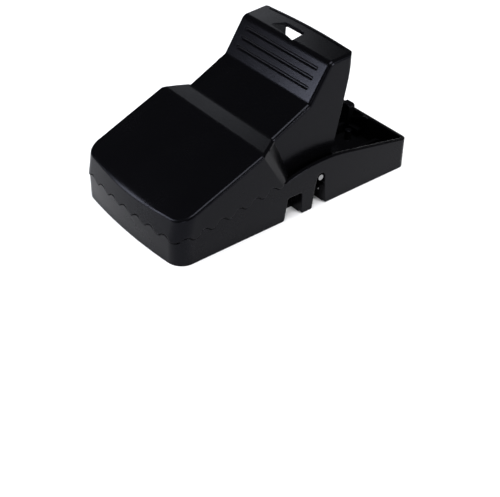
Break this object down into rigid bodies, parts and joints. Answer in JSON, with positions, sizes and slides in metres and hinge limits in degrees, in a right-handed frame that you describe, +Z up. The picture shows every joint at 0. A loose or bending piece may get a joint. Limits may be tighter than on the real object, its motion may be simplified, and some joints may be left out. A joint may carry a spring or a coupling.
{
  "type": "snap mouse trap",
  "caption": "Press-to-set mouse trap: serrated tray, sprung serrated jaw with a ribbed press handle, pedal with a round hole over a bait cup, and a steel pivot pin.",
  "frame": {"origin": "centre of the closed trap's bounding box, at the rest face", "axes": "+Z up; the serrated mouth faces -Y and the long axis is Y; X runs along the pivot pin"},
  "size_m": [0.0546, 0.0986, 0.0494],
  "materials": {
    "tray_plastic": "moulded black plastic, semi-gloss",
    "jaw_plastic": "moulded black plastic, semi-gloss",
    "pedal_plastic": "moulded black plastic, satin",
    "cup_plastic": "moulded plastic, very dark brown",
    "pin_steel": "plain drawn steel",
    "spring_steel": "bright spring wire"
  },
  "bodies": {
    "base": {"base_tray": "tray_plastic", "pivot_pin": "pin_steel", "torsion_spring_left": "spring_steel", "torsion_spring_right": "spring_steel"},
    "jaw": {"upper_jaw": "jaw_plastic"},
    "pedal": {"trigger_pedal": "pedal_plastic"},
    "cup": {"bait_cup": "cup_plastic"}
  },
  "joints": [
    {"name": "jaw_hinge", "type": "hinge", "parent": "base", "child": "jaw", "pos_m": [0, 0.0096, 0.0109], "axis": [-1, 0, 0], "range_deg": [0, 66.4], "stiffness_Nm_per_rad": 0.15, "springref_deg": -34.38, "deforming": ["torsion_spring_left", "torsion_spring_right"]},
    {"name": "pedal_pivot", "type": "hinge", "parent": "base", "child": "pedal", "pos_m": [0, -0.0015, 0.0065], "axis": [1, 0, 0], "range_deg": [0, 3], "stiffness_Nm_per_rad": 0.03, "springref_deg": -2.86},
    {"name": "bait_cup_slide", "type": "slide", "parent": "base", "child": "cup", "axis": [0, 0, -1], "range_m": [0, 0.018]}
  ]
}
